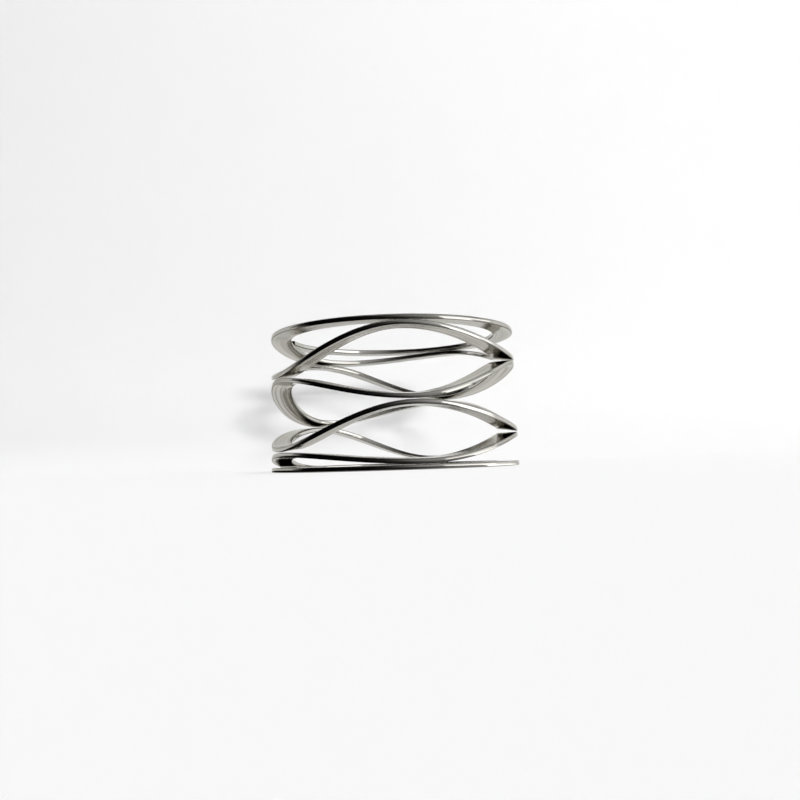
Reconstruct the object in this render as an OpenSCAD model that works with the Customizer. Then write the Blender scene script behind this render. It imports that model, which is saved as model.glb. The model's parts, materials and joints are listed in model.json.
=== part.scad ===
// Multi-turn wave spring: one flat wire, wound on edge, with a flat turn at each end.
// Millimetres. The winding axis is Z, and the lower end turn lies on z = 0.
// Each crest stands under a trough of the next turn, so the turns lean on each other crest to crest.

/* [Coil] */
// Outside diameter of the winding
outside_d = 24.6; // [14:0.1:60]
// Height of the unloaded spring over both end turns
free_h = 13.5; // [7:0.1:30]
// Clearance left where a crest meets the trough of the next turn
contact_gap = 0.04; // [0.02:0.01:0.2]

/* [Wire] */
// Radial width of the flat wire
wire_w = 2; // [1:0.05:5]
// Thickness of the flat wire, along the axis
wire_t = 0.45; // [0.25:0.01:0.8]
// Rounding of the four edges of the wire
edge_r = 0.1; // [0.02:0.01:0.12]

/* [Waves] */
// Whole waves in one turn; half a wave more sets crests under troughs
turn_waves = 2; // [1:1:4]
// Whole waves between the end turns; half a wave more ends on the upper end turn
wire_waves = 10; // [5:1:16]
// Direction in which the lower end turn lifts into the first wave, from +X
start_angle = 140; // [0:1:359]
// Angle by which half a wave falls short of its even share of a turn
wave_creep = 0.5; // [0:0.05:1.5]
// Share of the wave's height that the inner edge lacks, as in a flat wire waved on edge
inner_calm = 0.1; // [0.05:0.01:0.15]
// Height by which the inner edge stands above the outer one, away from the end turns
inner_lift = 0.1; // [0:0.01:0.14]
// Straight steps that draw half a wave
wave_steps = 20; // [8:2:26]

/* [Hidden] */
$fn = 120;

outer_r = outside_d / 2;
inner_r = outer_r - wire_w;
mid_r = outer_r - wire_w / 2;

// Half waves in one turn and between the end turns, both odd
turn_halves = 2 * floor(turn_waves) + 1;
wire_halves = 2 * floor(wire_waves) + 1;
half_angle = 360 / turn_halves - wave_creep;

// Height of the wire's centre in each end turn, and from one leaning turn to the next
low_z = wire_t / 2;
high_z = free_h - wire_t / 2;
lean_h = wire_t + contact_gap;

// The waved turns run a little way into each end turn, a hair slimmer than it
seat_ease = 0.005;
seat_share = 1 / half_angle;

// The planes on which turns lean on each other rise evenly between the end turns
first_plane = turn_halves / 2 - 1;
last_plane = wire_halves - first_plane;
function plane_share(i) = min(1, max(0, (i - first_plane) / (last_plane - first_plane)));
function plane_z(i) =
    low_z + lean_h / 2 + plane_share(i) * (high_z - low_z - lean_h);

// Height of the wire's centre at its turning point j: even is a trough, odd a crest
function is_crest(j) = j % 2 == 1;
function turning_z(j) =
    j == 0 ? low_z :
    j == wire_halves ? high_z :
    is_crest(j) ? plane_z(j + turn_halves / 2) - lean_h / 2 :
    plane_z(j - turn_halves / 2) + lean_h / 2;

// Height of the middle about which the waves swing, climbing from one end turn to the other
function middle_z(j) =
    j == 0 ? low_z :
    j == wire_halves ? high_z :
    (turning_z(j - 1) + 2 * turning_z(j) + turning_z(j + 1)) / 4;

// Height and steepness of the wire's outer edge along the waves, u in half waves
function wave_foot(u) = min(wire_halves - 1, floor(u));
function wave_rise(u) = turning_z(wave_foot(u) + 1) - turning_z(wave_foot(u));
function wave_z(u) =
    turning_z(wave_foot(u)) + wave_rise(u) * (1 - cos(180 * (u - wave_foot(u)))) / 2;
function wave_slope(u) =
    wave_rise(u) * 90 * sin(180 * (u - wave_foot(u))) / (mid_r * half_angle);

// Height of the inner edge over the outer one at u. The lift fades out within a turn of each end
function wave_middle(u) =
    let (j = wave_foot(u))
    middle_z(j) + (u - j) * (middle_z(j + 1) - middle_z(j));
function lift_share(u) =
    (1 - cos(180 * min(1, u / turn_halves, (wire_halves - u) / turn_halves))) / 2;
function inner_rise(u) =
    inner_lift * lift_share(u) - inner_calm * (wave_z(u) - wave_middle(u));

// Height of the wire's centre at u and radius r: turns lean on their outer edges and part inwards
function wire_z(u, r) = wave_z(u) + inner_rise(u) * (outer_r - r) / wire_w;

// The rounding takes no more than this share of the wire's thickness or width
edge_limit = 0.45;
edge = min(edge_r, wire_t * edge_limit, wire_w * edge_limit);

// Section of the wire: flat faces with eased edges, "slim" taken off all round. On a slope
// the wire stands "stretch" times as high, so that it keeps its thickness across the slope
function wire_section(stretch = 1, slim = 0) =
    let (
        out = outer_r - slim,
        in = inner_r + slim,
        top = stretch * (wire_t / 2 - slim),
        ease = stretch * edge
    )
    [
        [out - edge, -top],
        [out, -top + ease],
        [out, top - ease],
        [out - edge, top],
        [in + edge, top],
        [in, top - ease],
        [in, -top + ease],
        [in + edge, -top]
    ];

// An end turn stops where the wave beside it has moved clear of it
function tip_share(rise) = acos(1 - 2 * min(1, lean_h / rise)) / 180;
low_tip = tip_share(turning_z(1) - low_z) * half_angle;
high_tip = tip_share(high_z - turning_z(wire_halves - 1)) * half_angle;
end_angle = start_angle + wire_halves * half_angle;

// Flat end turn of the given sweep, from the given direction
module end_turn(from, sweep, centre_z) {
    translate([0, 0, centre_z])
        rotate([0, 0, from])
            rotate_extrude(angle = sweep)
                polygon(wire_section());
}

// Stations along the waves, in half waves, with one more inside each end turn
stations = [
    -seat_share,
    for (i = [0 : wire_halves * wave_steps]) i / wave_steps,
    wire_halves + seat_share
];

// The waved turns: the wire's section carried from station to station
module waved_turns() {
    last = len(stations) - 1;
    sides = len(wire_section());
    points = [
        for (station = stations)
            let (
                a = start_angle + station * half_angle,
                u = min(wire_halves, max(0, station)),
                stretch = sqrt(1 + pow(wave_slope(u), 2))
            )
            for (p = wire_section(stretch, seat_ease))
                [p.x * cos(a), p.x * sin(a), wire_z(u, p.x) + p.y]
    ];
    skin = [
        for (i = [0 : last - 1], s = [0 : sides - 1])
            let (
                t = (s + 1) % sides,
                here = i * sides,
                next = here + sides
            )
            each [[here + s, next + t, next + s], [here + s, here + t, next + t]]
    ];
    first_cap = [for (s = [sides - 1 : -1 : 0]) s];
    last_cap = [for (s = [0 : sides - 1]) last * sides + s];
    polyhedron(points, concat(skin, [first_cap, last_cap]), convexity = 12);
}

module wave_spring() {
    color([0.58, 0.57, 0.545])
    union() {
        end_turn(start_angle - 360 + low_tip, 360 - low_tip, low_z);
        waved_turns();
        end_turn(end_angle, 360 - high_tip, high_z);
    }
}

wave_spring();
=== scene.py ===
import json
import math

import bpy
from mathutils import Matrix, Vector


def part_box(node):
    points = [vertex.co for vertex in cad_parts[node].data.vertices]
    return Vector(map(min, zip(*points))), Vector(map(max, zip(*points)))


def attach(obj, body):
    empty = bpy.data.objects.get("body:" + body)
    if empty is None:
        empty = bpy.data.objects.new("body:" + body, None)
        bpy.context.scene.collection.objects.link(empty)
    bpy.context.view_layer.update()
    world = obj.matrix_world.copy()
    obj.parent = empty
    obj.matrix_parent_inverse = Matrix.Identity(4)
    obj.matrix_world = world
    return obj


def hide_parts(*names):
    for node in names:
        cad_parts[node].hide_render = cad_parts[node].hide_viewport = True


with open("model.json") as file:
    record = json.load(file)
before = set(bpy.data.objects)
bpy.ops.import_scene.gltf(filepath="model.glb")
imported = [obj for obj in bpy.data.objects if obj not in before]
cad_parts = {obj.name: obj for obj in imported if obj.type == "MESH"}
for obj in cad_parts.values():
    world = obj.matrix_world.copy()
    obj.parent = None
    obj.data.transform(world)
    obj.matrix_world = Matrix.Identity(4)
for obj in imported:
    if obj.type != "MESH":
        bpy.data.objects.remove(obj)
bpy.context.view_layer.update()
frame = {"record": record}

MM = 0.001

# Sizes of the wire and its waves, in metres and degrees. The frame gives the overall ones
low_corner, high_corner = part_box("wave_spring")
radius_of = {m["name"]: m["dims"].get("r_mm", 0) * MM for m in frame["record"]["mounts"]}
OUTER_R = radius_of["housing_outside"]
INNER_R = radius_of["shaft_bore"]
MID_R = (OUTER_R + INNER_R) / 2
FREE_H = high_corner.z - low_corner.z
WIRE_T = 0.45 * MM
CONTACT_GAP = 0.04 * MM
TURN_HALVES = 5
WIRE_HALVES = 21
WAVE_CREEP = 0.5
HALF_ANGLE = 360 / TURN_HALVES - WAVE_CREEP
START_ANGLE = 140
INNER_CALM = 0.1
INNER_LIFT = 0.1 * MM

# Height of the wire's centre in each end turn, and from one leaning turn to the next
LOW_Z = WIRE_T / 2
HIGH_Z = FREE_H - WIRE_T / 2
LEAN_H = WIRE_T + CONTACT_GAP

# Edges of the wire: their rounding, and how far the narrow faces between them bulge
EDGE_R = 0.1 * MM
OUTER_CROWN = math.radians(18)
INNER_CROWN = math.radians(3)

# Fineness of the meshes: steps along half a wave, each rounded edge, the cove and each card
WAVE_STEPS = 48
EDGE_STEPS = 5
COVE_STEPS = 24
CARD_STEPS = 48

# Steel: its darker and lighter streaks, the painted shade that darkens its rounded edges, and its
# tint at a grazing angle
STEEL_DARK = (0.36, 0.346, 0.312, 1)
STEEL_LIGHT = (0.63, 0.617, 0.584, 1)
STEEL_EDGE = (0.12, 0.115, 0.1, 1)
STEEL_EDGE_SHARE = 0.7
STEEL_GRAZING = (0.7, 0.69, 0.66, 1)
STEEL_ROUGHNESS = (0.03, 0.07)

# Marks in the steel, counted per millimetre along and across the wire, and how deep they are
STREAKS = (0.05, 3)
STREAK_ENDS = (0.36, 0.6)
ROLLED_MARKS = (0.04, 4.2)
ROLLED_DEPTH = 0.014 * MM
SCUFFS = (0.3, 18)
SCUFF_DEPTH = 0.0003 * MM

# Paper: its colour, its share of plain white on the floor and up the backdrop, the height between
PAPER = (0.9, 0.9, 0.9, 1)
FLOOR_WHITE = 0.7
BACKDROP_WHITE = 0.0
PAPER_FADE = 7 * MM

# Light of the room, and how bright the metal shows it
ROOM_LIGHT = 0.05
ROOM_IN_METAL = 0.7

# Glowing card round the camera's side that only metal shows, a painted reflection, in degrees from
# the front to the right, with its tones on the way
CARD_LEFT = -104
CARD_RIGHT = 90
CARD_R = 0.2
CARD_GLOW = 1.7
CARD_TONES = [
    (-104, 0.25), (-90, 0.0), (-24, 0.003), (-8, 0.015), (4, 0.07),
    (14, 0.15), (40, 0.3), (50, 0.5), (68, 0.5), (90, 0.4),
]

# The same painted reflection tones on a floor card are turned to the right and start just outside the
# spring
FLOOR_TURN = 14
BESIDE_R = OUTER_R + 0.05 * MM
CARD_LIFT = 0.02 * MM

# Low glowing window card on the right, and a glowing floor card painted as the floor that it lights;
# both are painted reflections that only metal shows
WINDOW_LEFT = 43
WINDOW_RIGHT = 100
WINDOW_FLOOR_RIGHT = 72
WINDOW_R = 0.19
WINDOW_TOP = 0.045
WINDOW_GLOW = 2.2
WINDOW_LIFT = 0.03 * MM


# The run of the wire
def plane_z(i):
    """Height of the plane on which two turns lean on each other, i counted in half waves."""
    first = TURN_HALVES / 2 - 1
    share = (i - first) / (WIRE_HALVES - 2 * first)
    return LOW_Z + LEAN_H / 2 + min(1, max(0, share)) * (HIGH_Z - LOW_Z - LEAN_H)


def turning_z(j):
    """Height of the wire's centre at turning point j: even is a trough, odd a crest."""
    if j == 0:
        return LOW_Z
    if j == WIRE_HALVES:
        return HIGH_Z
    if j % 2:
        return plane_z(j + TURN_HALVES / 2) - LEAN_H / 2
    return plane_z(j - TURN_HALVES / 2) + LEAN_H / 2


def wave_at(u):
    """Height of the wire's outer edge at u half waves, and its steepness along the turn."""
    u = min(WIRE_HALVES, max(0, u))
    foot = min(WIRE_HALVES - 1, math.floor(u))
    rise = turning_z(foot + 1) - turning_z(foot)
    phase = math.pi * (u - foot)
    slope = rise * math.pi / 2 * math.sin(phase) / (MID_R * math.radians(HALF_ANGLE))
    return turning_z(foot) + rise * (1 - math.cos(phase)) / 2, slope


def middle_z(j):
    """Height of the middle about which the waves swing at turning point j."""
    if j in (0, WIRE_HALVES):
        return turning_z(j)
    return (turning_z(j - 1) + 2 * turning_z(j) + turning_z(j + 1)) / 4


def inner_rise(u):
    """Height of the wire's inner edge over its outer one, nothing in the end turns."""
    u = min(WIRE_HALVES, max(0, u))
    foot = min(WIRE_HALVES - 1, math.floor(u))
    middle = middle_z(foot) + (u - foot) * (middle_z(foot + 1) - middle_z(foot))
    inside = min(1, u / TURN_HALVES, (WIRE_HALVES - u) / TURN_HALVES)
    lift = INNER_LIFT * (1 - math.cos(math.pi * inside)) / 2
    return lift - INNER_CALM * (wave_at(u)[0] - middle)


def tip_share(rise):
    """Share of half a wave after which the wire has moved clear of the end turn beside it."""
    return math.acos(1 - 2 * LEAN_H / rise) / math.pi


def wire_stations():
    """Places along the wire, in half waves, from its lower cut end to its upper one."""
    turn = 360 / HALF_ANGLE
    first = tip_share(turning_z(1) - LOW_Z) - turn
    last = WIRE_HALVES + turn - tip_share(HIGH_Z - turning_z(WIRE_HALVES - 1))
    count = round((last - first) * WAVE_STEPS)
    return [first + (last - first) * i / count for i in range(count + 1)]


# The spring
def wire_section():
    """Points of the wire's section as (radius, height, outward normal), round its four edges."""
    corners = [(OUTER_R, -1, -90), (OUTER_R, 1, 0), (INNER_R, 1, 90), (INNER_R, -1, 180)]
    points = []
    for side, up, from_angle in corners:
        centre_r = side - EDGE_R if side == OUTER_R else side + EDGE_R
        centre_h = up * (WIRE_T / 2 - EDGE_R)
        for k in range(EDGE_STEPS + 1):
            a = math.radians(from_angle + 90 * k / EDGE_STEPS)
            normal = (math.cos(a), math.sin(a))
            spot = (centre_r + EDGE_R * normal[0], centre_h + EDGE_R * normal[1])
            on_narrow_face = k in (0, EDGE_STEPS) and abs(normal[1]) < 0.5
            if on_narrow_face:
                tilt = up * (OUTER_CROWN if side == OUTER_R else INNER_CROWN)
                normal = (math.copysign(math.cos(tilt), normal[0]), math.sin(tilt))
            points.append((*spot, normal))
    return points


def carried_section(section, stations):
    """Points and normals of the section at every station, and how far along the wire each lies."""
    points, normals, run = [], [], []
    for u in stations:
        angle = math.radians(START_ANGLE + u * HALF_ANGLE)
        out = Vector((math.cos(angle), math.sin(angle), 0))
        around = Vector((-math.sin(angle), math.cos(angle), 0))
        outer_z, slope = wave_at(u)
        stretch = math.hypot(1, slope)
        lean = inner_rise(u) / (OUTER_R - INNER_R)
        run.append((angle - math.radians(START_ANGLE)) * MID_R)
        for r, h, (n_out, n_up) in section:
            points.append(out * r + Vector((0, 0, outer_z + lean * (OUTER_R - r) + h * stretch)))
            along = around + Vector((0, 0, slope * MID_R / r))
            across = out * -n_up + Vector((0, 0, n_out * stretch + n_up * lean))
            normals.append(along.cross(across).normalized())
    return points, normals, run


def wire_faces(sides, last):
    """The two cut ends, and the skin between stations 0 and last."""
    faces = [tuple(range(sides)), tuple(last * sides + s for s in reversed(range(sides)))]
    for i in range(last):
        for s in range(sides):
            t = (s + 1) % sides
            faces.append((i * sides + s, (i + 1) * sides + s, (i + 1) * sides + t, i * sides + t))
    return faces


def dress_wire(mesh, section, normals, run):
    """Smooth normals, a map in millimetres along and round the wire, and a mark on rounded edges."""
    sides = len(section)
    girth = [0.0]
    for here, following in zip(section, section[1:] + section[:1]):
        girth.append(girth[-1] + math.hypot(following[0] - here[0], following[1] - here[1]))
    wire_uv = mesh.uv_layers.new(name="wire")
    corner_normals = []
    for polygon in mesh.polygons:
        polygon.use_smooth = True
        cap = len(polygon.vertices) == sides
        wraps = not cap and {v % sides for v in polygon.vertices} == {0, sides - 1}
        for loop in polygon.loop_indices:
            v = mesh.loops[loop].vertex_index
            step = sides if wraps and v % sides == 0 else v % sides
            wire_uv.data[loop].uv = (run[v // sides] / MM, girth[step] / MM)
            corner_normals.append(polygon.normal.copy() if cap else normals[v])
    mesh.normals_split_custom_set(corner_normals)
    rounding = mesh.attributes.new("rounding", "FLOAT", "POINT")
    for v in range(len(mesh.vertices)):
        step = v % sides % (EDGE_STEPS + 1)
        rounding.data[v].value = math.sin(math.pi * step / EDGE_STEPS)


def make_spring():
    """The whole spring: one flat wire with rounded edges, carried along its run."""
    section, stations = wire_section(), wire_stations()
    points, normals, run = carried_section(section, stations)
    mesh = bpy.data.meshes.new("wave_spring_wire")
    mesh.from_pydata(points, [], wire_faces(len(section), len(stations) - 1))
    mesh.validate()
    dress_wire(mesh, section, normals, run)
    mesh.materials.append(spring_steel())
    spring = bpy.data.objects.new("wave_spring_wire", mesh)
    bpy.context.scene.collection.objects.link(spring)
    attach(spring, "root")
    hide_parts("wave_spring")


# Materials
def new_material(name):
    """An empty node material with its output, and its nodes and links."""
    material = bpy.data.materials.new(name)
    material.use_nodes = True
    nodes, links = material.node_tree.nodes, material.node_tree.links
    nodes.clear()
    return material, nodes, links, nodes.new("ShaderNodeOutputMaterial").inputs["Surface"]


def stretched_noise(nodes, links, scale, detail):
    """Noise drawn out along the wire, with scale as marks per millimetre along and across it."""
    uv = nodes.new("ShaderNodeUVMap")
    uv.uv_map = "wire"
    mapping = nodes.new("ShaderNodeMapping")
    mapping.inputs["Scale"].default_value = (*scale, 1)
    noise = nodes.new("ShaderNodeTexNoise")
    noise.inputs["Scale"].default_value = 1
    noise.inputs["Detail"].default_value = detail
    links.new(uv.outputs["UV"], mapping.inputs["Vector"])
    links.new(mapping.outputs["Vector"], noise.inputs["Vector"])
    return noise.outputs["Fac"]


def ranged(nodes, links, value, low, high):
    """The middle part of a value from 0 to 1, spread over the range from low to high."""
    spread = nodes.new("ShaderNodeMapRange")
    spread.inputs["From Min"].default_value = 0.3
    spread.inputs["From Max"].default_value = 0.7
    spread.inputs["To Min"].default_value = low
    spread.inputs["To Max"].default_value = high
    links.new(value, spread.inputs["Value"])
    return spread.outputs["Result"]


def bumped(nodes, links, height, depth):
    """Relief of the given depth."""
    bump = nodes.new("ShaderNodeBump")
    bump.inputs["Strength"].default_value = 1
    bump.inputs["Distance"].default_value = depth
    links.new(height, bump.inputs["Height"])
    return bump


def steel_colour(nodes, links):
    """Light steel with darker streaks along the wire, and painted shade that makes it darkest on its
    rounded edges.
    """
    streaks = stretched_noise(nodes, links, STREAKS, detail=4)
    tint = nodes.new("ShaderNodeValToRGB")
    dark, light = tint.color_ramp.elements
    dark.position, light.position = STREAK_ENDS
    dark.color, light.color = STEEL_DARK, STEEL_LIGHT
    links.new(streaks, tint.inputs["Fac"])
    rounding = nodes.new("ShaderNodeAttribute")
    rounding.attribute_name = "rounding"
    edge_share = ranged(nodes, links, rounding.outputs["Fac"], 0, STEEL_EDGE_SHARE)
    # Painted shade: the rounded edges are mixed towards a dark colour that stands in for dark
    # reflections along them
    painted_edge_shade = nodes.new("ShaderNodeMix")
    painted_edge_shade.data_type = "RGBA"
    painted_edge_shade.inputs["B"].default_value = STEEL_EDGE
    links.new(edge_share, painted_edge_shade.inputs["Factor"])
    links.new(tint.outputs["Color"], painted_edge_shade.inputs["A"])
    return painted_edge_shade.outputs["Result"]


def spring_steel():
    """Bright rolled spring steel, with fine marks that run along the wire."""
    material, nodes, links, surface = new_material("spring_steel")
    steel = nodes.new("ShaderNodeBsdfPrincipled")
    steel.inputs["Metallic"].default_value = 1
    steel.inputs["Specular Tint"].default_value = STEEL_GRAZING
    links.new(steel.outputs["BSDF"], surface)
    rolled = stretched_noise(nodes, links, ROLLED_MARKS, detail=3)
    fine = stretched_noise(nodes, links, SCUFFS, detail=4)
    links.new(steel_colour(nodes, links), steel.inputs["Base Color"])
    links.new(ranged(nodes, links, fine, *STEEL_ROUGHNESS), steel.inputs["Roughness"])
    marks = bumped(nodes, links, rolled, ROLLED_DEPTH)
    scuffs = bumped(nodes, links, fine, SCUFF_DEPTH)
    links.new(marks.outputs["Normal"], scuffs.inputs["Normal"])
    links.new(scuffs.outputs["Normal"], steel.inputs["Normal"])
    return material


def seen_by(nodes, links, *rays):
    """1 for the named rays of the light path, 0 for all others."""
    path = nodes.new("ShaderNodeLightPath")
    seen = path.outputs[rays[0]]
    for ray in rays[1:]:
        either = nodes.new("ShaderNodeMath")
        either.operation = "MAXIMUM"
        links.new(seen, either.inputs[0])
        links.new(path.outputs[ray], either.inputs[1])
        seen = either.outputs[0]
    return seen


def mixed(nodes, links, share, first, second):
    """Two shaders, with the share of the second."""
    mix = nodes.new("ShaderNodeMixShader")
    links.new(share, mix.inputs["Fac"])
    links.new(first, mix.inputs[1])
    links.new(second, mix.inputs[2])
    return mix.outputs["Shader"]


def white_paper():
    """White paper that takes the shadow. Low down it shows mostly as plain white."""
    material, nodes, links, surface = new_material("white_paper")
    paper = nodes.new("ShaderNodeBsdfDiffuse")
    paper.inputs["Color"].default_value = PAPER
    glow = nodes.new("ShaderNodeEmission")
    glow.inputs["Strength"].default_value = 1
    place = nodes.new("ShaderNodeNewGeometry")
    split = nodes.new("ShaderNodeSeparateXYZ")
    links.new(place.outputs["Position"], split.inputs["Vector"])
    white = nodes.new("ShaderNodeMapRange")
    white.interpolation_type = "SMOOTHSTEP"
    white.inputs["From Min"].default_value = 0
    white.inputs["From Max"].default_value = PAPER_FADE
    white.inputs["To Min"].default_value = FLOOR_WHITE
    white.inputs["To Max"].default_value = BACKDROP_WHITE
    links.new(split.outputs["Z"], white.inputs["Value"])
    seen = seen_by(nodes, links, "Is Camera Ray", "Is Glossy Ray", "Is Transmission Ray")
    share = nodes.new("ShaderNodeMath")
    share.operation = "MULTIPLY"
    links.new(white.outputs["Result"], share.inputs[0])
    links.new(seen, share.inputs[1])
    lit, plain = paper.outputs["BSDF"], glow.outputs["Emission"]
    links.new(mixed(nodes, links, share.outputs[0], lit, plain), surface)
    return material


def gradient_card():
    """Glowing card for painted reflections, black on the left, growing through grey into a bright
    right side.
    """
    material, nodes, links, surface = new_material("gradient_card")
    card_uv = nodes.new("ShaderNodeUVMap")
    card_uv.uv_map = "card"
    split = nodes.new("ShaderNodeSeparateXYZ")
    links.new(card_uv.outputs["UV"], split.inputs["Vector"])
    tones = nodes.new("ShaderNodeValToRGB")
    stops = tones.color_ramp.elements
    while len(stops) < len(CARD_TONES):
        stops.new(0.5)
    for stop, (azimuth, tone) in zip(stops, CARD_TONES):
        stop.position = (azimuth - CARD_LEFT) / (CARD_RIGHT - CARD_LEFT)
        stop.color = (tone, tone, tone, 1)
    links.new(split.outputs["X"], tones.inputs["Fac"])
    glow = nodes.new("ShaderNodeEmission")
    glow.inputs["Strength"].default_value = CARD_GLOW
    links.new(tones.outputs["Color"], glow.inputs["Color"])
    links.new(glow.outputs["Emission"], surface)
    return material


def bright_card():
    """Bright glow for the painted reflection of a window, and of the floor that the window would
    light.
    """
    material, nodes, links, surface = new_material("bright_card")
    glow = nodes.new("ShaderNodeEmission")
    glow.inputs["Strength"].default_value = WINDOW_GLOW
    links.new(glow.outputs["Emission"], surface)
    return material


# Stage
def stage_strip(name, pairs, material):
    """A strip of the stage between pairs of points, with smooth faces."""
    mesh = bpy.data.meshes.new(name)
    points = [point for pair in pairs for point in pair]
    faces = [(2 * k, 2 * k + 2, 2 * k + 3, 2 * k + 1) for k in range(len(pairs) - 1)]
    mesh.from_pydata(points, [], faces)
    for polygon in mesh.polygons:
        polygon.use_smooth = True
    mesh.materials.append(material)
    strip = bpy.data.objects.new(name, mesh)
    bpy.context.scene.collection.objects.link(strip)
    return strip


def make_sweep():
    """Floor that curves up into a backdrop behind the spring."""
    front, wall, top, half_width, cove = -0.8, 0.047, 0.6, 0.8, 0.02
    profile = [(front, 0.0)]
    for k in range(COVE_STEPS + 1):
        a = math.radians(90 * k / COVE_STEPS)
        profile.append((wall - cove + cove * math.sin(a), cove - cove * math.cos(a)))
    profile.append((wall, top))
    pairs = [((half_width, y, z), (-half_width, y, z)) for y, z in profile]
    stage_strip("paper_sweep", pairs, white_paper())


def ring_card(name, first, last, inner, outer, material):
    """Card between two directions and two places, each a radius and a height. Only metal shows it."""
    pairs = []
    for k in range(CARD_STEPS + 1):
        a = math.radians(first + (last - first) * k / CARD_STEPS)
        pairs.append([(r * math.sin(a), -r * math.cos(a), z) for r, z in (inner, outer)])
    card = stage_strip(name, pairs, material)
    card_uv = card.data.uv_layers.new(name="card")
    for loop in card.data.loops:
        card_uv.data[loop.index].uv = (loop.vertex_index // 2 / CARD_STEPS, loop.vertex_index % 2)
    card.visible_camera = False
    card.visible_diffuse = False
    card.visible_transmission = False
    card.visible_shadow = False


def make_surround():
    """Glowing cards round the camera's side and on the floor before it, painted reflections that only
    metal shows.
    """
    tones, bright = gradient_card(), bright_card()
    ring_card("surround_card", CARD_LEFT, CARD_RIGHT, (CARD_R, 0), (CARD_R, CARD_R), tones)
    floor = (BESIDE_R, CARD_LIFT), (CARD_R, CARD_LIFT)
    ring_card("surround_floor_card", CARD_LEFT + FLOOR_TURN, CARD_RIGHT + FLOOR_TURN, *floor, tones)
    window = (WINDOW_R, 0), (WINDOW_R, WINDOW_TOP)
    ring_card("window_card", WINDOW_LEFT, WINDOW_RIGHT, *window, bright)
    floor = (BESIDE_R, WINDOW_LIFT), (WINDOW_R, WINDOW_LIFT)
    ring_card("window_floor_card", WINDOW_LEFT, WINDOW_FLOOR_RIGHT, *floor, bright)


def make_lamp(name, azimuth, elevation, distance, size, energy):
    """A soft light that shines on the spring, azimuth counted from the front to the right."""
    azimuth, elevation = math.radians(azimuth), math.radians(elevation)
    towards = Vector((
        math.sin(azimuth) * math.cos(elevation),
        -math.cos(azimuth) * math.cos(elevation),
        math.sin(elevation),
    ))
    data = bpy.data.lights.new(name, "AREA")
    data.shape = "RECTANGLE"
    data.size, data.size_y = size
    data.energy = energy
    lamp = bpy.data.objects.new(name, data)
    lamp.location = Vector((0, 0, FREE_H / 2)) + towards * distance
    lamp.rotation_mode = "QUATERNION"
    lamp.rotation_quaternion = towards.to_track_quat("Z", "Y")
    lamp.visible_glossy = False
    bpy.context.scene.collection.objects.link(lamp)


def plain_light(nodes, strength):
    """Even white light from all round."""
    light = nodes.new("ShaderNodeBackground")
    light.inputs["Color"].default_value = (1, 1, 1, 1)
    light.inputs["Strength"].default_value = strength
    return light.outputs["Background"]


def make_world():
    """Plain room light, which shows as white, and as grey in metal."""
    world = bpy.data.worlds.new("room")
    world.use_nodes = True
    nodes, links = world.node_tree.nodes, world.node_tree.links
    nodes.clear()
    output = nodes.new("ShaderNodeOutputWorld")
    room, grey, white = (plain_light(nodes, s) for s in (ROOM_LIGHT, ROOM_IN_METAL, 1))
    in_metal = seen_by(nodes, links, "Is Glossy Ray")
    in_view = seen_by(nodes, links, "Is Camera Ray", "Is Transmission Ray")
    unseen = mixed(nodes, links, in_metal, room, grey)
    links.new(mixed(nodes, links, in_view, unseen, white), output.inputs["Surface"])
    bpy.context.scene.world = world


# Camera
def make_camera():
    """Camera low in front of the spring, tilted up and turned a little about its own axis."""
    place = Vector((0.867, -77.661, 1.038)) * MM
    tilt, roll = math.radians(9.534), math.radians(1.85)
    ahead = Vector((0, math.cos(tilt), math.sin(tilt)))
    level = Vector((1, 0, 0))
    upright = Vector((0, -math.sin(tilt), math.cos(tilt)))
    right = level * math.cos(roll) - upright * math.sin(roll)
    up = level * math.sin(roll) + upright * math.cos(roll)
    data = bpy.data.cameras.new("camera")
    data.sensor_width = 36
    data.lens = 34.227
    data.shift_y = -0.0875
    data.clip_start = 0.002
    data.clip_end = 10
    camera = bpy.data.objects.new("camera", data)
    axes = Matrix((right, up, -ahead)).transposed().to_4x4()
    camera.matrix_world = Matrix.Translation(place) @ axes
    bpy.context.scene.collection.objects.link(camera)
    bpy.context.scene.camera = camera


make_spring()
make_sweep()
make_surround()
make_lamp("front_light", azimuth=14, elevation=2, distance=0.6, size=(0.07, 0.03), energy=2.1)
make_lamp("top_light", azimuth=50, elevation=70, distance=0.45, size=(0.1, 0.1), energy=1.0)
make_world()
make_camera()
bpy.context.scene.view_settings.view_transform = "Standard"
